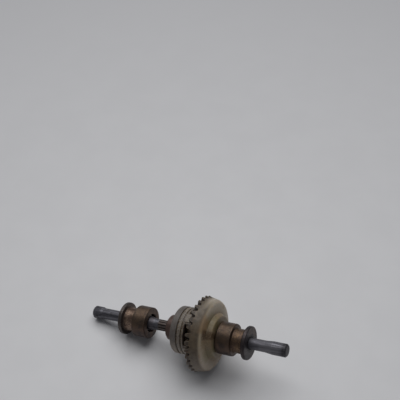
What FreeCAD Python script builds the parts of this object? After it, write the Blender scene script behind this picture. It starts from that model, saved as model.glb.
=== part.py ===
"""Small differential axle: a nylon crown gear and its cage on two half shafts, each in a bronze spool bush.

Millimetres. +X runs along the axle towards the short half shaft, +Z is up, and the origin is on the
axle line at mid length. Every piece of the real assembly is one solid in its own STEP file.
"""

import FreeCAD
import Part

import math
import os

# ---------------------------------------------------------------- driving dimensions (mm, degrees)
AXLE_LENGTH = 96.1            # tip to tip
SHAFT_R = 2.5                 # half shaft
TIP_R = 2.85                  # knurled shaft end, a little fatter than the shaft
TIP_LENGTH_LEFT = 4.2
TIP_LENGTH_RIGHT = 6.6
TIP_CHAMFER = 0.55
TIP_TAPER_LEFT = 0.8          # run from the knurled end down to the shaft
TIP_TAPER_RIGHT = 3.0
KNURL_COUNT = 18
KNURL_DEPTH = 0.12
KNURL_WIDTH = 0.2

SPLINE_COUNT = 12
SPLINE_DEPTH = 0.35
SPLINE_WIDTH = 0.62
SPLINE_PLAY = 0.04            # gap round each spline tooth in its hub
SPLINE_START_LEFT = -13.0     # outer end of the splined stretch
SPLINE_START_RIGHT = 16.4

BUSH_LENGTH = 13.75
BUSH_BODY_LENGTH = 6.75
BUSH_FLANGE_WIDTH = 1.8
BUSH_BODY_R = 7.05
BUSH_FLANGE_R = 7.3
BUSH_NECK_R = 5.3
BUSH_BORE_R = 2.56
BUSH_RECESS_R = 4.05          # counterbore for the shaft's shoulder and its washer
BUSH_RECESS_DEPTH = 2.2
BUSH_EDGE = 0.5
BUSH_NECK_FILLET = 0.5
LEFT_BUSH_FACE = -17.55       # inner end face of each bush
RIGHT_BUSH_FACE = 17.45

CENTRE_X = 6.0                # where the bevel gears' cones meet
BEVEL_MODULE = 0.9
SIDE_TEETH = 12
PLANET_TEETH = 10
BEVEL_PRESSURE = 25.0
BEVEL_ADDENDUM = 0.72
BEVEL_DEDENDUM = 0.95
BEVEL_BACKLASH = 0.14
BEVEL_TOE = 0.62              # inner end of the teeth, as a share of the cone distance
SIDE_FLANGE_R = 6.6
SIDE_FLANGE_H = (5.22, 5.75)  # distances from the cone centre
SIDE_FRONT_H = 2.9
HUB_R = 5.6
HUB_END_LEFT = -7.7
HUB_END_RIGHT = 16.5
HUB_CHAMFER = 0.6
PLANET_FRONT_H = 3.4
PLANET_BACK_H = 6.3
PLANET_BACK_R = 3.3

PIN_R = 1.0                   # cross pin that carries the planet gears
PIN_LENGTH = 20.0
PIN_PLAY = 0.05
HUB_PLAY = 0.05
WASHER_THICKNESS = 0.4
WASHER_GAP = 0.05
PLANET_WASHER_R = 3.2
SIDE_WASHER_R = 6.9

CAGE_PHASE = 5.0              # turn of the posts about X, from +Z
POSTS = 4
POST_HALF_WIDTH = 2.7
POST_INNER = 6.75
POST_OUTER_R = 10.15
POST_PAD_R = 10.5             # raised rib on the outside of each post
POST_PAD_HALF_WIDTH = 1.9
CAVITY_R = 7.6
CAP_R = 10.5
CAP_LEFT = -2.8
CAP_RIGHT = 0.2
CAP_EDGE = 0.75
SPIGOT_R = 9.9
CAGE_LEFT = 0.8
CAGE_RING_R = 10.45
RING_GROOVE = (2.3, 2.9)
RING_GROOVE_R = 9.95
THIN_RING_R = 10.3
WINDOW_X = (3.6, 8.6)

CROWN_TEETH = 30
CROWN_MATE_TEETH = 10         # tooth count of the pinion that drives it, which sets the cone
CROWN_PITCH_R = 16.5
CROWN_PITCH_X = 9.0
CROWN_PRESSURE = 20.0
CROWN_ADDENDUM = 1.0
CROWN_DEDENDUM = 1.15
CROWN_BACKLASH = 0.12
CROWN_TOE = 0.75
CROWN_WEB_X = 8.5
CROWN_BACK_EDGE_X = 9.5       # the heel of the teeth meets the thick rim here
CROWN_SHOULDER = (14.0, 15.5) # (x, r) where the rim rounds over to the back face
CROWN_SHOULDER_FILLET = 2.2
BOSS_FOOT_X = 14.7
BOSS_R = 10.3
BOSS_FACE_X = 16.9
BOSS_FACE_R = 9.3

SCREW_CIRCLE_R = 8.8
SCREW_R = 0.7
SCREW_TIP_X = 4.4
SCREW_HEAD_R = 1.2
SCREW_HEAD_HEIGHT = 0.85
SCREW_RECESS_R = 1.3
SCREW_RECESS_DEPTH = 1.0
SCREW_SLOT_WIDTH = 0.3
SCREW_SLOT_LENGTH = 1.6
SCREW_SLOT_DEPTH = 0.35
SCREW_TURN = 25.0             # of the cross slot

CLIP_THICKNESS = 0.5          # C clips at the shafts' inner ends
CLIP_INNER_R = 2.0
CLIP_OUTER_R = 2.85
CLIP_MOUTH_HALF = 35.0
SHAFT_END_H = 1.3             # gap from the cone centre to each shaft's inner end
GROOVE_PLAY = 0.05
BUSH_WASHER_THICKNESS = 0.6   # thrust washer between the bush's recess and the shaft's shoulder
BUSH_WASHER_R = 3.8
BUSH_WASHER_PLAY = 0.06
SHOULDER_R = 3.05             # collar turned on each half shaft
SHOULDER_LENGTH = 1.3
SHOULDER_TAPER = 2.6
RIGHT_SHOULDER_TAPER = 0.3    # shorter, because the right hub ends close by

OVERSIZE = 1.0                # how far a cutter runs past the surface that it cuts

ORIGIN = FreeCAD.Vector(0, 0, 0)
X_AXIS = FreeCAD.Vector(1, 0, 0)
Z_AXIS = FreeCAD.Vector(0, 0, 1)

LEFT_TIP = -AXLE_LENGTH / 2
RIGHT_TIP = AXLE_LENGTH / 2
POST_ANGLES = [CAGE_PHASE + 360.0 * i / POSTS for i in range(POSTS)]
PLANET_ANGLES = [POST_ANGLES[0], POST_ANGLES[2]]


# ---------------------------------------------------------------- general shapes
def turned(outline):
    """Solid of revolution about X. Each outline corner is (x, r) or (x, r, corner radius)."""
    corners = [FreeCAD.Vector(c[0], 0, c[1]) for c in outline]
    radii = [c[2] if len(c) > 2 else 0 for c in outline]
    count = len(corners)
    ends = []
    arcs = []
    for i, corner in enumerate(corners):
        if not radii[i]:
            ends.append((corner, corner))
            arcs.append(None)
            continue
        back = (corners[i - 1] - corner).normalize()
        ahead = (corners[(i + 1) % count] - corner).normalize()
        half = back.getAngle(ahead) / 2
        reach = radii[i] / math.tan(half)
        middle = (back + ahead).normalize()
        top = corner + middle * (radii[i] / math.sin(half) - radii[i])
        start = corner + back * reach
        stop = corner + ahead * reach
        ends.append((start, stop))
        arcs.append(Part.Arc(start, top, stop).toShape())
    edges = []
    for i in range(count):
        if arcs[i]:
            edges.append(arcs[i])
        edges.append(Part.makeLine(ends[i][1], ends[(i + 1) % count][0]))
    face = Part.Face(Part.Wire(edges))
    return face.revolve(ORIGIN, X_AXIS, 360)


def tube(x0, x1, r_in, r_out):
    """Plain ring about X."""
    return turned([(x0, r_in), (x0, r_out), (x1, r_out), (x1, r_in)])


def rod(x0, x1, r):
    """Plain cylinder about X."""
    return Part.makeCylinder(r, x1 - x0, FreeCAD.Vector(x0, 0, 0), X_AXIS)


def spun(shape, angle):
    """Copy of a shape turned about X."""
    copy = shape.copy()
    copy.rotate(ORIGIN, X_AXIS, angle)
    return copy


def radial_bar(x0, x1, half_width, r0, r1):
    """Bar that points along +Z from radius r0 to r1."""
    corner = FreeCAD.Vector(x0, -half_width, r0)
    return Part.makeBox(x1 - x0, 2 * half_width, r1 - r0, corner)


def ring_of(shape, count, phase=0.0):
    """Copies of a shape evenly round X."""
    return [spun(shape, phase + 360.0 * i / count) for i in range(count)]


def split_ring(x0, x1, r_in, r_out, mouth_half):
    """Flat ring with an open mouth that points down."""
    blank = tube(x0, x1, r_in, r_out)
    reach = r_out + OVERSIZE
    spread = reach * math.tan(math.radians(mouth_half))
    points = [(0, 0), (-spread, -reach), (spread, -reach), (0, 0)]
    wire = Part.makePolygon([FreeCAD.Vector(x0 - OVERSIZE, y, z) for y, z in points])
    mouth = Part.Face(wire).extrude(X_AXIS * (x1 - x0 + 2 * OVERSIZE))
    return blank.cut(mouth)


# ---------------------------------------------------------------- bevel gear teeth
def involute(angle):
    return math.tan(angle) - angle


def bevel_cone(teeth, mate_teeth, module):
    """Pitch cone angle and cone distance of a bevel gear."""
    return math.atan2(teeth, mate_teeth), module * math.hypot(teeth, mate_teeth) / 2


def cone_point(cone, distance, share, height):
    """(h, r) of a point that stands height off the pitch cone, share of the way out along it."""
    h = distance * math.cos(cone) - height * math.sin(cone)
    r = distance * math.sin(cone) + height * math.cos(cone)
    return h * share, r * share


def tooth_space(teeth, cone, distance, pressure, heights, backlash, planes, steps):
    """Space between two teeth, about +X with the cone's apex at the origin.

    The flanks are involutes on the back cone, drawn towards the apex.
    """
    alpha = math.radians(pressure)
    virtual_r = distance * math.tan(cone)
    virtual_teeth = teeth / math.cos(cone)
    base_r = virtual_r * math.cos(alpha)
    flank = []
    for i in range(steps + 1):
        height = -heights[1] + (heights[0] + heights[1]) * i / steps
        radius = virtual_r + height
        local = math.acos(min(1.0, base_r / radius))
        tooth = math.pi / (2 * virtual_teeth) - backlash / (2 * virtual_r)
        tooth += involute(alpha) - involute(local)
        flank.append((cone + math.atan2(height, distance), (math.pi / virtual_teeth - tooth) / math.cos(cone)))
    slope = (flank[-1][1] - flank[-2][1]) / (flank[-1][0] - flank[-2][0])
    extra = 0.06
    flank.append((flank[-1][0] + extra, flank[-1][1] + slope * extra))
    wires = []
    for h in planes:
        side = [(h * math.tan(lean), turn) for lean, turn in flank]
        loop = side + [(r, -turn) for r, turn in reversed(side)]
        points = [FreeCAD.Vector(h, r * math.sin(turn), r * math.cos(turn)) for r, turn in loop]
        wires.append(Part.makePolygon(points + points[:1]))
    return Part.makeLoft(wires, True, True)


SIDE_CONE, CONE_DISTANCE = bevel_cone(SIDE_TEETH, PLANET_TEETH, BEVEL_MODULE)
PLANET_CONE = math.pi / 2 - SIDE_CONE
BEVEL_HEIGHTS = (BEVEL_ADDENDUM, BEVEL_DEDENDUM)


def side_gear(hub_end_h):
    """Side gear about +X, its cone apex at the origin and its hub running out to hub_end_h."""
    toe_root = cone_point(SIDE_CONE, CONE_DISTANCE, BEVEL_TOE, -BEVEL_DEDENDUM)
    toe_tip = cone_point(SIDE_CONE, CONE_DISTANCE, BEVEL_TOE, BEVEL_ADDENDUM)
    heel_tip = cone_point(SIDE_CONE, CONE_DISTANCE, 1, BEVEL_ADDENDUM)
    heel_root = cone_point(SIDE_CONE, CONE_DISTANCE, 1, -BEVEL_DEDENDUM)
    bore = SHAFT_R + SPLINE_PLAY
    toothed = turned([(SIDE_FRONT_H, bore), (SIDE_FRONT_H, toe_root[1] - 0.3), toe_root, toe_tip, heel_tip,
                      heel_root, (SIDE_FLANGE_H[1], heel_root[1]), (SIDE_FLANGE_H[1], bore)])
    space = tooth_space(SIDE_TEETH, SIDE_CONE, CONE_DISTANCE, BEVEL_PRESSURE, BEVEL_HEIGHTS,
                        BEVEL_BACKLASH, (toe_tip[0] * 0.9, heel_root[0] * 1.02), 6)
    toothed = toothed.cut(ring_of(space, SIDE_TEETH))
    flange = tube(SIDE_FLANGE_H[0], SIDE_FLANGE_H[1], bore, SIDE_FLANGE_R)
    hub = turned([(SIDE_FLANGE_H[0], bore), (SIDE_FLANGE_H[0], HUB_R), (hub_end_h - HUB_CHAMFER, HUB_R),
                  (hub_end_h, HUB_R - HUB_CHAMFER), (hub_end_h, bore + 0.3), (hub_end_h - 0.3, bore)])
    key = radial_bar(SIDE_FRONT_H + 0.1, hub_end_h - 0.4, SPLINE_WIDTH / 2 - SPLINE_PLAY,
                     SHAFT_R - SPLINE_DEPTH + SPLINE_PLAY, SHAFT_R + 0.3)
    return toothed.fuse([flange, hub] + ring_of(key, SPLINE_COUNT)).removeSplitter()


def planet_gear():
    """Planet gear about +X, its cone apex at the origin, with a plain bore for the cross pin."""
    toe_root = cone_point(PLANET_CONE, CONE_DISTANCE, BEVEL_TOE, -BEVEL_DEDENDUM)
    toe_tip = cone_point(PLANET_CONE, CONE_DISTANCE, BEVEL_TOE, BEVEL_ADDENDUM)
    heel_tip = cone_point(PLANET_CONE, CONE_DISTANCE, 1, BEVEL_ADDENDUM)
    heel_root = cone_point(PLANET_CONE, CONE_DISTANCE, 1, -BEVEL_DEDENDUM)
    bore = PIN_R + PIN_PLAY
    blank = turned([(PLANET_FRONT_H, bore), (PLANET_FRONT_H, toe_root[1] - 0.3), toe_root, toe_tip, heel_tip,
                    heel_root, (PLANET_BACK_H, PLANET_BACK_R), (PLANET_BACK_H, bore)])
    space = tooth_space(PLANET_TEETH, PLANET_CONE, CONE_DISTANCE, BEVEL_PRESSURE, BEVEL_HEIGHTS,
                        BEVEL_BACKLASH, (toe_tip[0] * 0.9, heel_root[0] * 1.06), 6)
    half_pitch = 180.0 / PLANET_TEETH
    return blank.cut(ring_of(space, PLANET_TEETH, half_pitch))


def out_along(shape, angle):
    """Take a shape built about +X at the origin to the cone centre, pointing out at an angle from +Z."""
    copy = shape.copy()
    copy.rotate(ORIGIN, FreeCAD.Vector(0, 1, 0), -90)
    copy.rotate(ORIGIN, X_AXIS, angle)
    copy.translate(FreeCAD.Vector(CENTRE_X, 0, 0))
    return copy


# ---------------------------------------------------------------- the crown gear with its cage
def toothed_ring():
    """Ring of bevel teeth that faces -X, on a thick rim with a rounded shoulder."""
    cone, distance = bevel_cone(CROWN_TEETH, CROWN_MATE_TEETH, 2 * CROWN_PITCH_R / CROWN_TEETH)
    apex_x = CROWN_PITCH_X - distance * math.cos(cone)

    def at(share, height):
        h, r = cone_point(cone, distance, share, height)
        return apex_x + h, r

    toe_root = at(CROWN_TOE, -CROWN_DEDENDUM)
    toe_tip = at(CROWN_TOE, CROWN_ADDENDUM)
    heel_tip = at(1, CROWN_ADDENDUM)
    heel_root = at(1, -CROWN_DEDENDUM)
    share = (CROWN_BACK_EDGE_X - heel_tip[0]) / (heel_root[0] - heel_tip[0])
    back_edge_r = heel_tip[1] + share * (heel_root[1] - heel_tip[1])
    inner = BOSS_R - 1
    blank = turned([(CROWN_WEB_X, inner), (CROWN_WEB_X, toe_root[1] - 0.4), toe_root, toe_tip, heel_tip,
                    (CROWN_BACK_EDGE_X, back_edge_r, 0.35), (*CROWN_SHOULDER, CROWN_SHOULDER_FILLET),
                    (BOSS_FOOT_X, BOSS_R + 0.4), (BOSS_FOOT_X, inner)])
    planes = (toe_tip[0] - apex_x - 0.3, heel_root[0] - apex_x + 0.3)
    space = tooth_space(CROWN_TEETH, cone, distance, CROWN_PRESSURE, (CROWN_ADDENDUM, CROWN_DEDENDUM),
                        CROWN_BACKLASH, planes, 3)
    space.translate(FreeCAD.Vector(apex_x, 0, 0))
    return blank.cut(ring_of(space, CROWN_TEETH))


def crown_gear():
    """Toothed ring, boss, and the four-post cage that holds the bevel gears."""
    wall_x = CENTRE_X + SIDE_FLANGE_H[1] + WASHER_GAP + WASHER_THICKNESS
    bore = HUB_R + HUB_PLAY
    web_left = WINDOW_X[1]
    rear = turned([(web_left, CAVITY_R), (web_left, POST_OUTER_R), (CROWN_WEB_X + 1, BOSS_R),
                   (BOSS_FOOT_X, BOSS_R), (BOSS_FACE_X, BOSS_FACE_R, 0.7), (BOSS_FACE_X, bore),
                   (wall_x, bore), (wall_x, CAVITY_R)])
    front = turned([(CAGE_LEFT, CAVITY_R), (CAGE_LEFT, CAGE_RING_R, 0.2), (RING_GROOVE[0], CAGE_RING_R, 0.2),
                    (RING_GROOVE[0], RING_GROOVE_R), (RING_GROOVE[1], RING_GROOVE_R),
                    (RING_GROOVE[1], THIN_RING_R), (WINDOW_X[0], THIN_RING_R), (WINDOW_X[0], CAVITY_R)])
    post = radial_bar(CAGE_LEFT, web_left + 0.5, POST_HALF_WIDTH, POST_INNER, POST_OUTER_R + 1)
    post = post.common(rod(CAGE_LEFT, web_left + 0.5, POST_OUTER_R))
    pad = radial_bar(RING_GROOVE[1] + 0.3, web_left + 0.2, POST_PAD_HALF_WIDTH, POST_OUTER_R - 1, POST_PAD_R + 1)
    pad = pad.common(rod(CAGE_LEFT, web_left + 0.2, POST_PAD_R))
    posts = [spun(post.fuse(pad), angle) for angle in POST_ANGLES]
    gear = rear.fuse([front, toothed_ring()] + posts)
    clear = rod(CAGE_LEFT - OVERSIZE, WINDOW_X[0], CAVITY_R)
    screw_hole = rod(CAGE_LEFT - OVERSIZE, SCREW_TIP_X + 0.3, SCREW_R)
    screw_hole.translate(Z_AXIS * SCREW_CIRCLE_R)
    pin_hole = Part.makeCylinder(PIN_R, 2 * CAP_R, FreeCAD.Vector(CENTRE_X, 0, -CAP_R), Z_AXIS)
    cuts = [clear, spun(pin_hole, PLANET_ANGLES[0])]
    cuts += [spun(screw_hole, angle) for angle in POST_ANGLES]
    return gear.cut(cuts).removeSplitter()


# ---------------------------------------------------------------- the cap and its screws
def case_cap():
    """Grey disc that closes the cage, with the side gear's hub through it."""
    bore = HUB_R + HUB_PLAY
    floor_x = CENTRE_X - SIDE_FLANGE_H[1] - WASHER_GAP - WASHER_THICKNESS
    cap = turned([(CAP_LEFT, bore + 0.4), (CAP_LEFT, CAP_R, CAP_EDGE), (CAP_RIGHT, CAP_R, 0.25),
                  (CAP_RIGHT, SPIGOT_R), (CAGE_LEFT, SPIGOT_R), (CAGE_LEFT, CAVITY_R), (floor_x, CAVITY_R),
                  (floor_x, bore), (CAP_LEFT + 0.4, bore)])
    hole = rod(CAP_LEFT - OVERSIZE, CAGE_LEFT + OVERSIZE, SCREW_R + 0.1)
    recess = rod(CAP_LEFT - OVERSIZE, CAP_LEFT + SCREW_RECESS_DEPTH, SCREW_RECESS_R)
    cutter = hole.fuse(recess)
    cutter.translate(Z_AXIS * SCREW_CIRCLE_R)
    return cap.cut([spun(cutter, angle) for angle in POST_ANGLES])


def cap_screws():
    """Four pan head screws with cross slots, as a group of separate solids."""
    seat_x = CAP_LEFT + SCREW_RECESS_DEPTH
    screw = turned([(seat_x - SCREW_HEAD_HEIGHT, 0), (seat_x - SCREW_HEAD_HEIGHT, SCREW_HEAD_R, 0.35),
                    (seat_x, SCREW_HEAD_R), (seat_x, SCREW_R), (SCREW_TIP_X - 0.5, SCREW_R),
                    (SCREW_TIP_X, 0.3), (SCREW_TIP_X, 0)])
    slot_x = seat_x - SCREW_HEAD_HEIGHT
    corner = FreeCAD.Vector(slot_x - OVERSIZE, -SCREW_SLOT_LENGTH / 2, -SCREW_SLOT_WIDTH / 2)
    slot = Part.makeBox(SCREW_SLOT_DEPTH + OVERSIZE, SCREW_SLOT_LENGTH, SCREW_SLOT_WIDTH, corner)
    screw = screw.cut([spun(slot, SCREW_TURN), spun(slot, SCREW_TURN + 90)])
    screw.translate(Z_AXIS * SCREW_CIRCLE_R)
    return Part.makeCompound([spun(screw, angle) for angle in POST_ANGLES])


# ---------------------------------------------------------------- half shafts and bushes
def half_shaft(outward, tip_x, tip_length, tip_taper, inner_x, spline_outer_x, clip_x, shoulder_x, taper):
    """Steel half shaft. outward is -1 for the left one and 1 for the right one."""
    knurl_in = tip_x - outward * tip_length
    half_clip = CLIP_THICKNESS / 2 + GROOVE_PLAY
    taper_x = shoulder_x - outward * SHOULDER_LENGTH
    outline = [(tip_x, 0), (tip_x, TIP_R - TIP_CHAMFER), (tip_x - outward * TIP_CHAMFER, TIP_R),
               (knurl_in, TIP_R), (knurl_in - outward * tip_taper, SHAFT_R),
               (shoulder_x, SHAFT_R), (shoulder_x, SHOULDER_R), (taper_x, SHOULDER_R),
               (taper_x - outward * taper, SHAFT_R),
               (clip_x + outward * half_clip, SHAFT_R), (clip_x + outward * half_clip, CLIP_INNER_R),
               (clip_x - outward * half_clip, CLIP_INNER_R), (clip_x - outward * half_clip, SHAFT_R),
               (inner_x + outward * 0.4, SHAFT_R), (inner_x, SHAFT_R - 0.4), (inner_x, 0)]
    shaft = turned(outline)
    x0, x1 = sorted([spline_outer_x, clip_x])
    groove = radial_bar(x0, x1, SPLINE_WIDTH / 2, SHAFT_R - SPLINE_DEPTH, SHAFT_R + OVERSIZE)
    x0, x1 = sorted([tip_x + outward * OVERSIZE, knurl_in + outward * 0.4])
    knurl = radial_bar(x0, x1, KNURL_WIDTH / 2, TIP_R - KNURL_DEPTH, TIP_R + OVERSIZE)
    half_step = 180.0 / SPLINE_COUNT
    return shaft.cut(ring_of(groove, SPLINE_COUNT) + ring_of(knurl, KNURL_COUNT, half_step / 2))


def bush():
    """Bronze spool about X: inner face at x = 0, flange at its outer end."""
    flange_in = BUSH_LENGTH - BUSH_FLANGE_WIDTH
    return turned([(0, BUSH_RECESS_R + 0.3), (0, BUSH_BODY_R, BUSH_EDGE), (BUSH_BODY_LENGTH, BUSH_BODY_R, BUSH_EDGE),
                   (BUSH_BODY_LENGTH, BUSH_NECK_R, BUSH_NECK_FILLET), (flange_in, BUSH_NECK_R, BUSH_NECK_FILLET),
                   (flange_in, BUSH_FLANGE_R, BUSH_EDGE), (BUSH_LENGTH, BUSH_FLANGE_R, BUSH_EDGE),
                   (BUSH_LENGTH, BUSH_BORE_R + 0.4), (BUSH_LENGTH - 0.4, BUSH_BORE_R),
                   (BUSH_RECESS_DEPTH, BUSH_BORE_R), (BUSH_RECESS_DEPTH, BUSH_RECESS_R), (0.3, BUSH_RECESS_R)])


def facing_left(shape):
    """Turn a shape built towards +X round to point along -X."""
    copy = shape.copy()
    copy.rotate(ORIGIN, Z_AXIS, 180)
    return copy


def moved(shape, x):
    """Copy of a shape moved along X."""
    copy = shape.copy()
    copy.translate(FreeCAD.Vector(x, 0, 0))
    return copy


# ---------------------------------------------------------------- the assembly
def assembly():
    """Every node of the axle by name."""
    clip_h = SIDE_FRONT_H - 0.1 - CLIP_THICKNESS / 2
    clip_x = (CENTRE_X - clip_h, CENTRE_X + clip_h)
    shoulder_depth = BUSH_RECESS_DEPTH - BUSH_WASHER_THICKNESS - 2 * WASHER_GAP
    shoulder_x = (LEFT_BUSH_FACE - shoulder_depth, RIGHT_BUSH_FACE + shoulder_depth)
    washer_h = SIDE_FLANGE_H[1] + WASHER_GAP

    nodes = {}
    nodes["crown_gear"] = crown_gear()
    nodes["case_cap"] = case_cap()
    nodes["cap_screws"] = cap_screws()
    pin = Part.makeCylinder(PIN_R, PIN_LENGTH, FreeCAD.Vector(CENTRE_X, 0, -PIN_LENGTH / 2), Z_AXIS)
    nodes["cross_pin"] = spun(pin, PLANET_ANGLES[0])
    planet = planet_gear()
    washer = tube(PLANET_BACK_H + WASHER_GAP, PLANET_BACK_H + WASHER_GAP + WASHER_THICKNESS,
                  PIN_R + PIN_PLAY, PLANET_WASHER_R)
    for name, angle in zip(("upper", "lower"), PLANET_ANGLES):
        nodes[name + "_planet_gear"] = out_along(planet, angle)
        nodes[name + "_planet_washer"] = out_along(washer, angle)

    side_washer = tube(washer_h, washer_h + WASHER_THICKNESS, HUB_R + HUB_PLAY, SIDE_WASHER_R)
    left_gear = facing_left(side_gear(CENTRE_X - HUB_END_LEFT))
    right_gear = side_gear(HUB_END_RIGHT - CENTRE_X)
    nodes["left_side_gear"] = moved(spun(left_gear, CAGE_PHASE), CENTRE_X)
    nodes["right_side_gear"] = moved(spun(right_gear, CAGE_PHASE), CENTRE_X)
    nodes["left_side_washer"] = moved(facing_left(side_washer), CENTRE_X)
    nodes["right_side_washer"] = moved(side_washer, CENTRE_X)

    left_shaft = half_shaft(-1, LEFT_TIP, TIP_LENGTH_LEFT, TIP_TAPER_LEFT, CENTRE_X - SHAFT_END_H,
                            SPLINE_START_LEFT, clip_x[0], shoulder_x[0], SHOULDER_TAPER)
    right_shaft = half_shaft(1, RIGHT_TIP, TIP_LENGTH_RIGHT, TIP_TAPER_RIGHT, CENTRE_X + SHAFT_END_H,
                             SPLINE_START_RIGHT, clip_x[1], shoulder_x[1], RIGHT_SHOULDER_TAPER)
    nodes["left_half_shaft"] = spun(left_shaft, CAGE_PHASE)
    nodes["right_half_shaft"] = spun(right_shaft, CAGE_PHASE)
    for i, name in enumerate(("left", "right")):
        half = CLIP_THICKNESS / 2
        nodes[name + "_shaft_clip"] = split_ring(clip_x[i] - half, clip_x[i] + half, CLIP_INNER_R, CLIP_OUTER_R,
                                                 CLIP_MOUTH_HALF)
    bush_washer = tube(shoulder_depth + WASHER_GAP, shoulder_depth + WASHER_GAP + BUSH_WASHER_THICKNESS,
                       SHAFT_R + BUSH_WASHER_PLAY, BUSH_WASHER_R)
    nodes["left_bush_washer"] = moved(facing_left(bush_washer), LEFT_BUSH_FACE)
    nodes["right_bush_washer"] = moved(bush_washer, RIGHT_BUSH_FACE)
    nodes["left_bush"] = moved(facing_left(bush()), LEFT_BUSH_FACE)
    nodes["right_bush"] = moved(bush(), RIGHT_BUSH_FACE)
    return nodes


def main():
    os.makedirs("parts", exist_ok=True)
    for name, shape in assembly().items():
        solids = shape.Solids
        print(name, "solids", len(solids), "valid", shape.isValid(), "volume", round(shape.Volume, 2))
        shape.exportStep(os.path.join("parts", name + ".step"))


main()
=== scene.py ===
"""Looks for a small differential axle that lies on a pale floor, leaning on its crown gear and left bush."""

import math
import random

import bpy
from mathutils import Matrix, Vector


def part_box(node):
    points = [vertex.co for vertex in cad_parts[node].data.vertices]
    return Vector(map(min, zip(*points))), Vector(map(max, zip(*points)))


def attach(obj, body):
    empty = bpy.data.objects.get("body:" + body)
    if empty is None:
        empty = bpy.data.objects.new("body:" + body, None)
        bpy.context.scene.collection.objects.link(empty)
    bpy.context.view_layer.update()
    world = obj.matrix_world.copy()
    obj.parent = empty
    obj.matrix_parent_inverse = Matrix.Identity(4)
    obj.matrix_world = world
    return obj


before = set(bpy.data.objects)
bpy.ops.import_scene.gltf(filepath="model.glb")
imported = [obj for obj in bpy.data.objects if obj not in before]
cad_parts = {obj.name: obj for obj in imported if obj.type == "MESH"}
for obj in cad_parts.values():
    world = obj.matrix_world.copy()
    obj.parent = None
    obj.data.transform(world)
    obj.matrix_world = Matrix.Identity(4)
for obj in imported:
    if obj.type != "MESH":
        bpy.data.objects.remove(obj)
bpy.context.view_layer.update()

MM = 0.001

# ---------------------------------------------------------------- places, from the frame
LEFT_BUSH_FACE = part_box("left_bush")[1][0]       # inner end face of each bush
RIGHT_BUSH_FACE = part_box("right_bush")[0][0]
SHAFT_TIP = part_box("right_half_shaft")[1][0] / MM

# The axle lies on the rim of the crown gear and the flange of the left bush, so the floor slopes along X.
FLOOR_LEAN = math.radians(13.67)
FLOOR_DEPTH = 14.38 * MM      # from the row's origin, square to the floor
FLOOR_NORMAL = Vector((math.sin(FLOOR_LEAN), 0, math.cos(FLOOR_LEAN)))
FLOOR_REACH = 1.5
FLOOR_SHADE_FALLOFF = (0, 330)      # mm from the floor's middle, over which painted light falloff darkens the floor
WORLD_LIGHT = 0.12            # strength of the world's light on the axle

CAMERA_PLACE = Vector((156.6, -185.9, 265.1)) * MM
CAMERA_FORWARD = Vector((-0.4432, 0.6378, -0.6299)).normalized()
CAMERA_UP = Vector((-0.1089, 0.6591, 0.7441))
CAMERA_LENS = 72.1            # for a sensor 36 mm wide

# ---------------------------------------------------------------- where finishes change
# Each pair says where a finish starts and where it is whole, in mm. An X pair runs along the axle, an R pair
# out from its line, and an ALONG pair out from a bush's inner face. In SPLINES_X, SHOULDER_CONE_X,
# KNURLED_END_X and BUSH_NECK_ALONG the pair is the two ends of a stretch instead.
BUSH_BODY_ALONG = (7.0, 6.4)
BUSH_NECK_ALONG = (6.9, 11.6)
BUSH_FLANGE_ALONG = (11.5, 12.2)
BUSH_NECK_R = (6.9, 6.2)
BUSH_OUTSIDE_R = (6.0, 6.9)
BUSH_RECESS_R = (4.2, 3.9)

SPLINES_X = (-13.0, 16.4)
SPLINE_TEETH_R = (2.22, 2.46)
SHOULDER_CONE_X = (-20.0, -15.4)
SHOULDER_CONE_R = (2.50, 2.60)
BARE_SHAFT_X = (18, 30)
KNURLED_END_X = (36.0, 45.2)
DARK_END_X = (45.6, 46.8)
END_FACE_X = (SHAFT_TIP - 0.7, SHAFT_TIP - 0.45)
END_FACE_R = (2.5, 2.2)

GEAR_PALE_R = (9.5, 12.0)
GEAR_RIM_X = (13.4, 10.6)
GEAR_RIM_R = (14.6, 15.6)
GEAR_RIM_PALE_X = (10.0, 12.5)
GEAR_BOSS_R = (14.5, 9.4)
GEAR_BOSS_X = (13.0, 14.4)
NEAR_BUSH_R = (14.2, 11.5)
ORANGE_OUTER_R = (16.0, 14.4)
ORANGE_INNER_R = (10.5, 12.0)
SHADE_STREAK_END_R = (15.8, 13.8)
SHADE_STREAK_RAGGED = 2.4
TOOTH_ZONE_X = (9.9, 9.3)
TOOTH_ZONE_R = (11.6, 12.4)
TOOTH_NORMAL = (-0.949, 0.316)        # square to the crown gear's cone, along X and along the radius
TOOTH_HEIGHT = (-3.9, -2.7)           # from the valleys to the tips, along that normal
CAGE_ZONE_X = (9.4, 8.7)
CAGE_ZONE_R = (11.6, 10.9)
CAGE_RINGS_R = (10.25, 10.42)
CAGE_RING_FOOT_R = (10.0, 10.3)
CAGE_GROOVES_R = (9.95, 9.7)

CAP_RIM_R = (8.0, 9.5)
CAP_MIDDLE_R = (6.6, 5.8)

# Sides of the axle, as (y, z), toward which painted highlights, painted bounce light and painted shade lie,
# and the gear's olive and orange tints. The camera stands on the side of -Y and +Z.
BUSH_HIGHLIGHT_SIDE = (-0.25, 0.97)
BUSH_SHADED_SIDE = (-0.6, -0.8)
SHAFT_HIGHLIGHT_SIDE = (-1.0, 0.1)
GEAR_HIGHLIGHT_SIDE = (0.9, 0.45)
GEAR_BOUNCE_LIT_SIDE = (-0.75, -0.66)
RIM_HIGHLIGHT_SIDE = (0.93, 0.36)
RIM_BOUNCE_LIT_SIDE = (-0.55, -0.84)
CAP_BOUNCE_LIT_SIDE = (-0.65, -0.76)
OLIVE_TOP = (0.0, 1.0)
OLIVE_FRONT = (-0.97, 0.0)
ORANGE_SIDE = (-0.34, 0.94)
SHADE_STREAK_SIDE = (-0.61, 0.79)


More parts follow.
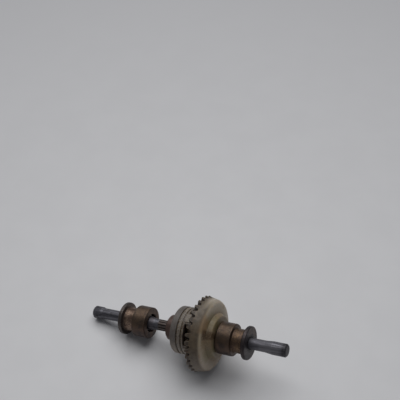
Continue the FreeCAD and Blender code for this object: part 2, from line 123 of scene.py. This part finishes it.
# ---------------------------------------------------------------- node recipes
class Recipe:
    """A material under construction, with short calls for the nodes it needs."""

    def __init__(self, name):
        self.material = bpy.data.materials.new(name)
        self.material.use_nodes = True
        self.tree = self.material.node_tree
        self.tree.nodes.clear()
        output = self.tree.nodes.new("ShaderNodeOutputMaterial")
        self.shader = self.tree.nodes.new("ShaderNodeBsdfPrincipled")
        self.tree.links.new(self.shader.outputs[0], output.inputs["Surface"])
        place = self.node("ShaderNodeTexCoord").outputs["Object"]
        self.mm = self.vector_math("MULTIPLY", place, (1 / MM, 1 / MM, 1 / MM))
        split = self.node("ShaderNodeSeparateXYZ", Vector=self.mm)
        self.x, self.y, self.z = split.outputs
        squares = self.math("ADD", self.math("POWER", self.y, 2), self.math("POWER", self.z, 2))
        self.r = self.math("SQRT", squares)

    def node(self, kind, settings=None, **inputs):
        made = self.tree.nodes.new(kind)
        for key, value in (settings or {}).items():
            setattr(made, key, value)
        for key, value in inputs.items():
            self.feed(made.inputs[key.replace("_", " ")], value)
        return made

    def feed(self, socket, value):
        if isinstance(value, bpy.types.NodeSocket):
            self.tree.links.new(value, socket)
        else:
            socket.default_value = value

    def math(self, operation, *values):
        made = self.node("ShaderNodeMath", {"operation": operation})
        for socket, value in zip(made.inputs, values):
            self.feed(socket, value)
        return made.outputs[0]

    def vector_math(self, operation, *values):
        made = self.node("ShaderNodeVectorMath", {"operation": operation})
        for socket, value in zip(made.inputs, values):
            self.feed(socket, value)
        return made.outputs["Value" if operation in ("LENGTH", "DOT_PRODUCT") else "Vector"]

    def noise(self, scale, detail, roughness, vector=None):
        made = self.node("ShaderNodeTexNoise", Scale=scale, Detail=detail, Roughness=roughness,
                         Vector=vector or self.mm)
        return made.outputs[0]

    def span(self, value, low, high, smooth=True):
        """0 on low's side, 1 on high's side."""
        kind = "SMOOTHSTEP" if smooth else "LINEAR"
        made = self.node("ShaderNodeMapRange", {"interpolation_type": kind, "clamp": True})
        for socket, number in zip(made.inputs, (value, low, high)):
            self.feed(socket, number)
        return made.outputs[0]

    def band(self, value, low, high, soft):
        """1 between low and high, with soft ends."""
        rise = self.span(value, low - soft, low + soft)
        fall = self.span(value, high + soft, high - soft)
        return self.both(rise, fall)

    def both(self, *masks):
        """Product of masks."""
        share = masks[0]
        for mask in masks[1:]:
            share = self.math("MULTIPLY", share, mask)
        return share

    def mix(self, share, first, second):
        """Colour between first and second."""
        made = self.node("ShaderNodeMix", {"data_type": "RGBA", "clamp_result": True})
        for socket, value in zip((made.inputs[0], made.inputs[6], made.inputs[7]),
                                 (share, colour(first), colour(second))):
            self.feed(socket, value)
        return made.outputs[2]

    def stain(self, share, tone, shade, *masks):
        """Lays a shade over a tone where all the masks are 1."""
        return self.mix(self.both(share, *masks), tone, shade)

    def blend(self, share, first, second):
        """Number between first and second."""
        made = self.node("ShaderNodeMix", {"data_type": "FLOAT"})
        for socket, value in zip((made.inputs[0], made.inputs[2], made.inputs[3]), (share, first, second)):
            self.feed(socket, value)
        return made.outputs[0]

    def add(self, first, first_share, second, second_share):
        """Weighted sum of two heights."""
        weighed = self.math("MULTIPLY", first, first_share)
        return self.math("ADD", weighed, self.math("MULTIPLY", second, second_share))

    def spoke(self):
        """Unit vector from the axle's line out to the surface."""
        return self.vector_math("NORMALIZE", self.vector_math("MULTIPLY", self.mm, (0, 1, 1)))

    def toward(self, side, low, high):
        """1 on one side of the axle. Low and high are cosines of the angle from that side."""
        direction = Vector((0, *side)).normalized()
        return self.span(self.vector_math("DOT_PRODUCT", self.spoke(), direction), low, high)

    def around(self, along, about):
        """Coordinates on a turned part: along the axle, and round it without a seam."""
        turn = self.vector_math("MULTIPLY", self.spoke(), (about, about, about))
        step = self.node("ShaderNodeCombineXYZ", X=self.math("MULTIPLY", self.x, along)).outputs[0]
        return self.vector_math("ADD", turn, step)

    def edges(self, radius):
        """1 on sharp edges, 0 on open surface."""
        plain = self.node("ShaderNodeNewGeometry").outputs["Normal"]
        away = self.math("SUBTRACT", 1.0, self.vector_math("DOT_PRODUCT", self.rounded(radius), plain))
        return self.span(away, 0.02, 0.25)

    def rounded(self, radius):
        """Normals that round off the edges."""
        return self.node("ShaderNodeBevel", {"samples": 6}, Radius=radius * MM).outputs[0]

    def bump(self, height, distance, strength, under=None):
        made = self.node("ShaderNodeBump", Height=height, Distance=distance * MM, Strength=strength)
        if under:
            self.feed(made.inputs["Normal"], under)
        return made.outputs[0]

    def finish(self, **inputs):
        for key, value in inputs.items():
            self.feed(self.shader.inputs[key.replace("_", " ")], value)
        return self.material


def colour(value):
    """A node socket as it is, or three numbers with an alpha of 1."""
    if isinstance(value, bpy.types.NodeSocket):
        return value
    return (*value, 1.0)


# ---------------------------------------------------------------- materials
def bush_bronze(name, inner_face, outward, rubbed, worn, flange_tone):
    """Turned bronze: nearly black body and flange, and a neck that the housing has rubbed bright. A painted
    highlight lies on the body's top, and painted shade lies on its underside and in the bore and recess.
    """
    black, brown, violet = (0.040, 0.029, 0.026), (0.100, 0.063, 0.045), (0.060, 0.046, 0.048)
    warm_highlight, underside_shade, flange_black = (0.125, 0.088, 0.055), (0.030, 0.022, 0.026), (0.034, 0.032, 0.035)
    scored, bare, recess_shade = (0.20, 0.135, 0.095), (0.24, 0.17, 0.125), (0.012, 0.010, 0.010)
    m = Recipe(name)
    along = m.math("MULTIPLY", m.math("SUBTRACT", m.x, inner_face / MM), outward)
    patches = m.noise(0.28, 5, 0.6)
    fine = m.noise(1.9, 6, 0.65)
    rings = m.noise(7.0, 3, 0.6, m.around(1.0, 0.1))
    neck = m.both(m.band(along, *BUSH_NECK_ALONG, soft=0.5), m.span(m.r, *BUSH_NECK_R))
    body_top_highlight = m.both(m.span(along, *BUSH_BODY_ALONG), m.toward(BUSH_HIGHLIGHT_SIDE, 0.55, 0.95))
    shaded_underside = m.toward(BUSH_SHADED_SIDE, 0.35, 0.9)

    tone = m.mix(m.span(patches, 0.35, 0.62), black, brown)
    tone = m.stain(0.55, tone, violet, m.span(fine, 0.48, 0.7))
    bright = m.mix(m.span(fine, 0.35, 0.65), rubbed, worn)
    tone = m.stain(neck, tone, bright, m.span(patches, 0.64, 0.42))
    # Painted highlight: a warm, lighter tone on the top of the body.
    tone = m.stain(0.6, tone, warm_highlight, body_top_highlight, m.span(fine, 0.65, 0.40))
    # Painted shade: a darker tone on the underside of the outer surfaces.
    tone = m.stain(0.5, tone, underside_shade, shaded_underside, m.span(m.r, *BUSH_OUTSIDE_R))
    dull = m.mix(m.span(fine, 0.4, 0.65), flange_tone, flange_black)
    tone = m.stain(0.85, tone, dull, m.span(along, *BUSH_FLANGE_ALONG))
    tone = m.stain(0.30, tone, scored, m.span(rings, 0.52, 0.72))
    tone = m.stain(1.0, tone, bare, m.edges(0.22), m.span(fine, 0.35, 0.6))
    # Painted shade: near black in the bore and the recess.
    tone = m.mix(m.span(m.r, *BUSH_RECESS_R), tone, recess_shade)

    rough = m.blend(m.span(fine, 0.35, 0.65), 0.36, 0.56)
    normal = m.bump(m.add(rings, 0.65, fine, 0.35), 0.03, 0.55, m.rounded(0.1))
    return m.finish(Base_Color=tone, Metallic=0.75, Roughness=rough, Normal=normal)


def shaft_steel(name):
    """Dark steel with lengthwise streaks and scratches, and old brown grease in the splines."""
    blued, streak, blot = (0.058, 0.057, 0.068), (0.150, 0.148, 0.168), (0.040, 0.036, 0.038)
    scratch, rust, oily = (0.36, 0.36, 0.38), (0.075, 0.052, 0.042), (0.105, 0.094, 0.105)
    root, crest = (0.030, 0.018, 0.014), (0.125, 0.098, 0.085)
    handled, front_highlight, bare = (0.200, 0.194, 0.214), (0.230, 0.222, 0.240), (0.20, 0.20, 0.21)
    dark_end, dark_face = (0.045, 0.042, 0.047), (0.045, 0.042, 0.045)
    m = Recipe(name)
    streaks = m.noise(1.0, 5, 0.6, m.around(0.10, 6.0))
    scratches = m.noise(1.0, 4, 0.7, m.around(0.35, 26.0))
    blots = m.noise(0.45, 5, 0.65)
    grain = m.noise(5.0, 4, 0.7)
    end_face = m.both(m.span(m.math("ABSOLUTE", m.x), *END_FACE_X), m.span(m.r, *END_FACE_R))
    cone = m.both(m.band(m.x, *SHOULDER_CONE_X, soft=0.2), m.span(m.r, *SHOULDER_CONE_R))

    tone = m.mix(m.span(streaks, 0.40, 0.62), blued, streak)
    tone = m.stain(0.8, tone, blot, m.span(blots, 0.52, 0.70))
    tone = m.stain(0.6, tone, scratch, m.span(scratches, 0.58, 0.72))
    tone = m.stain(0.5, tone, rust, m.span(grain, 0.58, 0.70))
    greasy = m.mix(m.span(m.r, *SPLINE_TEETH_R), root, crest)
    tone = m.stain(0.85, tone, greasy, m.band(m.x, *SPLINES_X, soft=0.6))
    tone = m.stain(0.6, tone, oily, cone)
    tone = m.stain(0.3, tone, handled, m.span(m.x, *BARE_SHAFT_X))
    tone = m.stain(0.80, tone, dark_end, m.span(m.x, *DARK_END_X))
    # Painted highlight: a lighter tone on the front side of the knurled end.
    front_highlight_mask = m.both(m.band(m.x, *KNURLED_END_X, soft=0.8), m.toward(SHAFT_HIGHLIGHT_SIDE, 0.2, 0.8))
    tone = m.stain(0.45, tone, front_highlight, front_highlight_mask)
    tone = m.stain(0.8, tone, dark_face, end_face)
    tone = m.stain(0.55, tone, bare, m.edges(0.12))

    rough = m.blend(m.span(streaks, 0.3, 0.7), 0.60, 0.40)
    normal = m.bump(m.add(scratches, 0.6, grain, 0.4), 0.018, 0.6, m.rounded(0.06))
    return m.finish(Base_Color=tone, Metallic=0.72, Roughness=rough, Normal=normal)


def gear_face(m, mottle, fine):
    """The gear's rim, back and boss: yellowed cream, browner on the rim, with olive and orange tints beside
    the bush. Painted light: paler on the back and on the low front side, and a painted shade streak running
    out from the bush.
    """
    tan, cream = (0.245, 0.180, 0.112), (0.35, 0.285, 0.200)
    pale, lit = (0.52, 0.455, 0.365), (0.46, 0.390, 0.320)
    yellow, amber, ray = (0.175, 0.150, 0.070), (0.23, 0.135, 0.065), (0.40, 0.365, 0.30)
    rim_dark, rim_brown, rim_bounce_light = (0.058, 0.042, 0.027), (0.112, 0.084, 0.056), (0.190, 0.150, 0.115)
    rim_highlight, boss_tan, boss_brown = (0.430, 0.375, 0.300), (0.215, 0.160, 0.092), (0.145, 0.102, 0.058)
    olive, olive_low = (0.175, 0.145, 0.062), (0.175, 0.155, 0.072)
    orange, streak_shade_brown = (0.250, 0.150, 0.070), (0.062, 0.034, 0.016)
    clouds = m.noise(0.13, 4, 0.55)
    tints = m.noise(0.30, 4, 0.6)
    rays = m.noise(1.0, 3, 0.55, m.around(0.06, 9.0))

    face = m.mix(m.span(clouds, 0.36, 0.64), tan, cream)
    # Painted highlight: paler on the back of the face, toward the light.
    face = m.stain(0.60, face, pale, m.toward(GEAR_HIGHLIGHT_SIDE, 0.0, 0.7), m.span(m.r, *GEAR_PALE_R))
    # Painted bounce light: paler on the low front side of the face.
    face = m.stain(0.75, face, lit, m.toward(GEAR_BOUNCE_LIT_SIDE, 0.2, 0.85))
    face = m.stain(0.55, face, yellow, m.span(mottle, 0.50, 0.72))
    face = m.stain(0.6, face, amber, m.span(tints, 0.55, 0.72))
    face = m.stain(0.28, face, ray, m.span(rays, 0.50, 0.72))

    rim = m.mix(m.span(mottle, 0.35, 0.65), rim_dark, rim_brown)
    # Painted bounce light: paler on the rim's low front side.
    rim = m.stain(0.6, rim, rim_bounce_light, m.toward(RIM_BOUNCE_LIT_SIDE, 0.2, 0.85))
    # Painted highlight: pale on the back of the rim, toward the light.
    rim = m.stain(0.85, rim, rim_highlight, m.toward(RIM_HIGHLIGHT_SIDE, 0.35, 0.9), m.span(m.x, *GEAR_RIM_PALE_X))
    on_rim = m.math("MAXIMUM", m.span(m.x, *GEAR_RIM_X), m.span(m.r, *GEAR_RIM_R))
    tone = m.stain(0.92, face, rim, on_rim)

    # The boss round the bush is browner: partly the nylon's own brown, partly painted shade of the bush.
    boss = m.mix(m.span(fine, 0.35, 0.65), boss_tan, boss_brown)
    tone = m.stain(0.85, tone, boss, m.span(m.r, *GEAR_BOSS_R), m.span(m.x, *GEAR_BOSS_X))
    near_bush = m.span(m.r, *NEAR_BUSH_R)
    tone = m.stain(0.50, tone, olive, m.toward(OLIVE_TOP, 0.90, 0.985), near_bush)
    tone = m.stain(0.45, tone, olive_low, m.toward(OLIVE_FRONT, 0.93, 0.99), near_bush)
    orange_ring = m.both(m.span(m.r, *ORANGE_OUTER_R), m.span(m.r, *ORANGE_INNER_R))
    tone = m.stain(0.65, tone, orange, m.toward(ORANGE_SIDE, 0.94, 0.99), orange_ring)
    # Painted shade: a dark brown streak running out from the bush on its upper front side.
    ragged = m.math("ADD", m.r, m.math("MULTIPLY", fine, SHADE_STREAK_RAGGED))
    shade_streak = m.both(m.toward(SHADE_STREAK_SIDE, 0.975, 0.995), m.span(ragged, *SHADE_STREAK_END_R))
    return m.stain(0.85, tone, streak_shade_brown, shade_streak, m.span(fine, 0.30, 0.50))


def gear_teeth(m, fine):
    """Dirty teeth, with darker grease between them."""
    worn, dirty, lit = (0.105, 0.084, 0.062), (0.052, 0.038, 0.028), (0.150, 0.120, 0.100)
    deep, shallow = (0.040, 0.027, 0.020), (0.070, 0.048, 0.035)
    tip = m.mix(m.span(fine, 0.40, 0.62), worn, dirty)
    # Painted bounce light: lighter tooth tips on the low front side.
    tip = m.stain(0.8, tip, lit, m.toward(RIM_BOUNCE_LIT_SIDE, 0.3, 0.9))
    valley = m.mix(m.span(fine, 0.4, 0.6), deep, shallow)
    height = m.add(m.x, TOOTH_NORMAL[0], m.r, TOOTH_NORMAL[1])
    return m.mix(m.span(height, *TOOTH_HEIGHT), valley, tip)


def gear_cage(m, mottle, fine):
    """The cage on the gear's toothed side, pale on its rings, from wear and from painted bounce light at
    their foot on the low front side, and brown inside.
    """
    beige, brown, grooves = (0.170, 0.140, 0.110), (0.080, 0.058, 0.047), (0.050, 0.034, 0.026)
    worn, lit = (0.230, 0.200, 0.165), (0.270, 0.230, 0.190)
    cage = m.mix(m.span(mottle, 0.38, 0.62), beige, brown)
    cage = m.stain(0.8, cage, worn, m.span(m.r, *CAGE_RINGS_R), m.span(fine, 0.65, 0.4))
    # Painted bounce light: lighter at the rings' foot on the low front side.
    cage = m.stain(0.8, cage, lit, m.span(m.r, *CAGE_RING_FOOT_R), m.toward(GEAR_BOUNCE_LIT_SIDE, 0.2, 0.9))
    return m.mix(m.span(m.r, *CAGE_GROOVES_R), cage, grooves)


def gear_nylon(name):
    """Cream nylon, yellowed and translucent, brown with old grease on its teeth and its cage."""
    speck, bare = (0.075, 0.050, 0.032), (0.40, 0.36, 0.29)
    m = Recipe(name)
    mottle = m.noise(0.55, 6, 0.65)
    fine = m.noise(2.2, 5, 0.65)
    specks = m.noise(4.5, 3, 0.6)
    in_teeth = m.both(m.span(m.x, *TOOTH_ZONE_X), m.span(m.r, *TOOTH_ZONE_R))
    in_cage = m.both(m.span(m.x, *CAGE_ZONE_X), m.span(m.r, *CAGE_ZONE_R))

    tone = m.mix(in_teeth, gear_face(m, mottle, fine), gear_teeth(m, fine))
    tone = m.mix(in_cage, tone, gear_cage(m, mottle, fine))
    tone = m.stain(0.45, tone, speck, m.span(specks, 0.60, 0.70))
    tone = m.stain(0.30, tone, bare, m.edges(0.28))

    rough = m.blend(m.span(mottle, 0.35, 0.7), 0.55, 0.34)
    normal = m.bump(m.add(mottle, 0.6, fine, 0.4), 0.05, 0.5, m.rounded(0.14))
    return m.finish(Base_Color=tone, Roughness=rough, Normal=normal, Subsurface_Weight=0.25,
                    Subsurface_Radius=(1.2, 0.8, 0.45), Subsurface_Scale=1.0 * MM, Specular_IOR_Level=0.4)


def cap_nylon(name):
    """Grey-beige nylon, oily, stained brown near the hub."""
    brown, grey, lit = (0.098, 0.080, 0.070), (0.118, 0.106, 0.096), (0.290, 0.240, 0.190)
    dirt, speck, oil = (0.085, 0.064, 0.055), (0.060, 0.045, 0.035), (0.050, 0.034, 0.028)
    bare = (0.27, 0.255, 0.23)
    m = Recipe(name)
    clouds = m.noise(0.22, 4, 0.55)
    mottle = m.noise(0.9, 6, 0.65)
    fine = m.noise(3.5, 4, 0.65)
    turned = m.noise(6.0, 3, 0.6, m.around(1.0, 0.15))

    tone = m.mix(m.span(clouds, 0.35, 0.65), brown, grey)
    # Painted bounce light: a paler rim on the cap's low front side.
    tone = m.stain(0.9, tone, lit, m.toward(CAP_BOUNCE_LIT_SIDE, 0.1, 0.8), m.span(m.r, *CAP_RIM_R))
    tone = m.stain(0.6, tone, dirt, m.span(mottle, 0.45, 0.68))
    tone = m.stain(0.5, tone, speck, m.span(fine, 0.56, 0.70))
    tone = m.stain(0.8, tone, oil, m.span(m.r, *CAP_MIDDLE_R))
    tone = m.stain(0.35, tone, bare, m.edges(0.3))

    rough = m.blend(m.span(mottle, 0.35, 0.7), 0.55, 0.38)
    normal = m.bump(m.add(turned, 0.4, mottle, 0.6), 0.04, 0.5, m.rounded(0.14))
    return m.finish(Base_Color=tone, Roughness=rough, Normal=normal, Subsurface_Weight=0.12,
                    Subsurface_Radius=(1.0, 0.8, 0.6), Subsurface_Scale=0.7 * MM)


def planet_nylon(name):
    """Nylon gears that run in grease."""
    tan, brown = (0.165, 0.130, 0.092), (0.080, 0.056, 0.040)
    speck, bare = (0.045, 0.030, 0.020), (0.30, 0.26, 0.20)
    m = Recipe(name)
    mottle = m.noise(0.8, 6, 0.65)
    fine = m.noise(3.0, 4, 0.6)

    tone = m.mix(m.span(mottle, 0.38, 0.62), tan, brown)
    tone = m.stain(0.6, tone, speck, m.span(fine, 0.55, 0.70))
    tone = m.stain(0.5, tone, bare, m.edges(0.2))

    rough = m.blend(m.span(fine, 0.4, 0.65), 0.28, 0.5)
    normal = m.bump(mottle, 0.04, 0.5, m.rounded(0.1))
    return m.finish(Base_Color=tone, Roughness=rough, Normal=normal, Subsurface_Weight=0.15,
                    Subsurface_Radius=(1.0, 0.7, 0.4), Subsurface_Scale=0.7 * MM)


def sintered_bronze(name):
    """Porous red-brown sintered metal soaked in old oil."""
    dark, red = (0.075, 0.046, 0.038), (0.125, 0.082, 0.068)
    pore, bare = (0.034, 0.022, 0.019), (0.25, 0.17, 0.135)
    m = Recipe(name)
    pores = m.noise(5.0, 5, 0.7)
    clouds = m.noise(0.4, 4, 0.6)

    tone = m.mix(m.span(clouds, 0.35, 0.65), dark, red)
    tone = m.stain(0.8, tone, pore, m.span(pores, 0.52, 0.66))
    tone = m.stain(0.45, tone, bare, m.edges(0.2))

    rough = m.blend(m.span(clouds, 0.35, 0.7), 0.62, 0.46)
    normal = m.bump(pores, 0.035, 0.7, m.rounded(0.1))
    return m.finish(Base_Color=tone, Metallic=0.45, Roughness=rough, Normal=normal)


def small_steel(name, base, dark, roughness):
    """Small steel pieces: pin, screws, washers and clips."""
    rust, bare = (0.075, 0.050, 0.038), (0.55, 0.55, 0.55)
    m = Recipe(name)
    grain = m.noise(3.0, 5, 0.65)
    clouds = m.noise(0.7, 4, 0.6)

    tone = m.mix(m.span(clouds, 0.35, 0.65), dark, base)
    tone = m.stain(0.6, tone, rust, m.span(grain, 0.52, 0.70))
    tone = m.stain(0.5, tone, bare, m.edges(0.1))

    rough = m.blend(m.span(grain, 0.4, 0.65), roughness, roughness + 0.18)
    normal = m.bump(grain, 0.012, 0.6, m.rounded(0.05))
    return m.finish(Base_Color=tone, Metallic=0.85, Roughness=rough, Normal=normal)


def old_grease(name):
    """Brown grease, glossy where it is thick."""
    dark, amber = (0.040, 0.024, 0.014), (0.110, 0.078, 0.042)
    m = Recipe(name)
    lumps = m.noise(1.4, 5, 0.6)
    tone = m.mix(m.span(lumps, 0.35, 0.65), dark, amber)
    rough = m.blend(m.span(lumps, 0.4, 0.65), 0.22, 0.45)
    normal = m.bump(lumps, 0.06, 0.7)
    return m.finish(Base_Color=tone, Roughness=rough, Normal=normal, Specular_IOR_Level=0.55)


def paint_nodes():
    """Gives each CAD node its finish."""
    sintered = sintered_bronze("sintered_bronze")
    planet = planet_nylon("planet_nylon")
    steel = shaft_steel("half_shaft_steel")
    washer = small_steel("washer_steel", (0.34, 0.34, 0.34), (0.16, 0.15, 0.145), 0.36)
    spring = small_steel("spring_steel", (0.22, 0.22, 0.24), (0.10, 0.10, 0.11), 0.32)
    finishes = {
        "crown_gear": gear_nylon("gear_nylon"),
        "case_cap": cap_nylon("cap_nylon"),
        "cap_screws": small_steel("screw_steel", (0.24, 0.23, 0.23), (0.11, 0.10, 0.10), 0.38),
        "cross_pin": small_steel("pin_steel", (0.36, 0.36, 0.37), (0.20, 0.19, 0.19), 0.26),
        "left_bush": bush_bronze("left_bush_bronze", LEFT_BUSH_FACE, -1, rubbed=(0.35, 0.245, 0.175),
                                 worn=(0.16, 0.110, 0.088), flange_tone=(0.100, 0.090, 0.085)),
        "right_bush": bush_bronze("right_bush_bronze", RIGHT_BUSH_FACE, 1, rubbed=(0.175, 0.108, 0.060),
                                  worn=(0.055, 0.036, 0.027), flange_tone=(0.046, 0.041, 0.046)),
    }
    for side in ("upper", "lower"):
        finishes[side + "_planet_gear"] = planet
        finishes[side + "_planet_washer"] = washer
    for side in ("left", "right"):
        finishes[side + "_side_gear"] = sintered
        finishes[side + "_half_shaft"] = steel
        finishes[side + "_side_washer"] = washer
        finishes[side + "_bush_washer"] = washer
        finishes[side + "_shaft_clip"] = spring
    for node, finish in finishes.items():
        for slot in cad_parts[node].material_slots:
            slot.material = finish


# ---------------------------------------------------------------- old grease
def grease_ring(name, x, radius, thickness, raggedness, seed):
    """A ragged ring of grease round the axle, on the carrier. Sizes are in mm."""
    steps, sides = 240, 10
    wave_count, wave_share = 12, 3
    thinnest = 0.35
    dice = random.Random(seed)
    waves = [(dice.randint(2, 45), dice.uniform(0, math.tau), dice.uniform(0.2, 1.0))
             for _ in range(wave_count)]
    points, faces = [], []
    for i in range(steps):
        turn = math.tau * i / steps
        swell = sum(size * math.sin(count * turn + shift) for count, shift, size in waves) / wave_share
        section = thickness * max(thinnest, 1 + raggedness * swell)
        for j in range(sides):
            corner = math.tau * j / sides
            r = radius + section * math.cos(corner)
            place = (x + section * math.sin(corner), r * math.sin(turn), r * math.cos(turn))
            points.append([value * MM for value in place])
            ahead, beside = (i + 1) % steps, (j + 1) % sides
            faces.append((i * sides + j, i * sides + beside, ahead * sides + beside, ahead * sides + j))
    mesh = bpy.data.meshes.new(name)
    mesh.from_pydata(points, [], faces)
    mesh.shade_smooth()
    mesh.materials.append(old_grease(name + "_finish"))
    piece = bpy.data.objects.new(name, mesh)
    bpy.context.collection.objects.link(piece)
    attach(piece, "carrier")


def grease():
    """Grease at the foot of the crown gear's teeth, in the cage's groove and at the cap's seam."""
    grease_ring("tooth_foot_grease", x=8.4, radius=11.5, thickness=0.75, raggedness=0.75, seed=4)
    grease_ring("cage_groove_grease", x=2.6, radius=9.98, thickness=0.24, raggedness=0.6, seed=9)
    grease_ring("cap_seam_grease", x=0.5, radius=9.95, thickness=0.26, raggedness=0.6, seed=12)


# ---------------------------------------------------------------- stage
def floor():
    """Pale floor, square to FLOOR_NORMAL, a little darker far from the axle: painted falloff of the light.
    """
    near_dark, near_pale, far = (0.72, 0.72, 0.735), (0.745, 0.745, 0.76), (0.50, 0.50, 0.515)
    corners = [(-1, -1), (1, -1), (1, 1), (-1, 1)]
    mesh = bpy.data.meshes.new("floor")
    mesh.from_pydata([(x * FLOOR_REACH, y * FLOOR_REACH, 0) for x, y in corners], [], [(0, 1, 2, 3)])
    piece = bpy.data.objects.new("floor", mesh)
    bpy.context.collection.objects.link(piece)
    piece.rotation_euler = (0, FLOOR_LEAN, 0)
    piece.location = -FLOOR_NORMAL * FLOOR_DEPTH
    m = Recipe("pale_floor")
    grain = m.noise(0.05, 3, 0.5)
    tone = m.mix(m.span(grain, 0.3, 0.7), near_dark, near_pale)
    # Painted shade: the floor darkens away from its middle, standing in for the light's falloff.
    tone = m.mix(m.span(m.vector_math("LENGTH", m.mm), *FLOOR_SHADE_FALLOFF, smooth=False), tone, far)
    mesh.materials.append(m.finish(Base_Color=tone, Roughness=0.9))


def softbox(name, place, aim, size, power):
    light = bpy.data.lights.new(name, "AREA")
    light.shape = "RECTANGLE"
    light.size, light.size_y = size
    light.energy = power
    lamp = bpy.data.objects.new(name, light)
    bpy.context.collection.objects.link(lamp)
    lamp.location = place
    lamp.rotation_euler = (Vector(aim) - Vector(place)).to_track_quat("-Z", "Y").to_euler()


def lights():
    """One wide softbox behind the axle, and a world that lights dimly but that the camera sees pale."""
    world = bpy.data.worlds.new("studio")
    bpy.context.scene.world = world
    world.use_nodes = True
    tree = world.node_tree
    dim = tree.nodes["Background"]
    dim.inputs["Color"].default_value = (0.93, 0.95, 1.0, 1)
    dim.inputs["Strength"].default_value = WORLD_LIGHT
    pale = tree.nodes.new("ShaderNodeBackground")
    pale.inputs["Color"].default_value = (0.36, 0.36, 0.37, 1)
    path = tree.nodes.new("ShaderNodeLightPath")
    seen = tree.nodes.new("ShaderNodeMixShader")
    tree.links.new(path.outputs["Is Camera Ray"], seen.inputs[0])
    tree.links.new(dim.outputs[0], seen.inputs[1])
    tree.links.new(pale.outputs[0], seen.inputs[2])
    tree.links.new(seen.outputs[0], tree.nodes["World Output"].inputs["Surface"])
    softbox("key", place=(0.06, 0.78, 1.86), aim=(0, -0.06, 0), size=(2.55, 2.25), power=37)


# ---------------------------------------------------------------- camera
def camera():
    """The view from above and in front of the axle's right end."""
    right = CAMERA_FORWARD.cross(CAMERA_UP).normalized()
    up = right.cross(CAMERA_FORWARD)
    turn = Matrix((right, up, -CAMERA_FORWARD)).transposed()
    data = bpy.data.cameras.new("camera")
    data.lens = CAMERA_LENS
    data.sensor_width = 36
    data.clip_start = 0.01
    data.clip_end = 50
    view = bpy.data.objects.new("camera", data)
    bpy.context.collection.objects.link(view)
    view.location = CAMERA_PLACE
    view.rotation_euler = turn.to_euler()
    bpy.context.scene.camera = view
    bpy.context.scene.view_settings.view_transform = "Standard"


# ---------------------------------------------------------------- scene
camera()
paint_nodes()
grease()
floor()
lights()
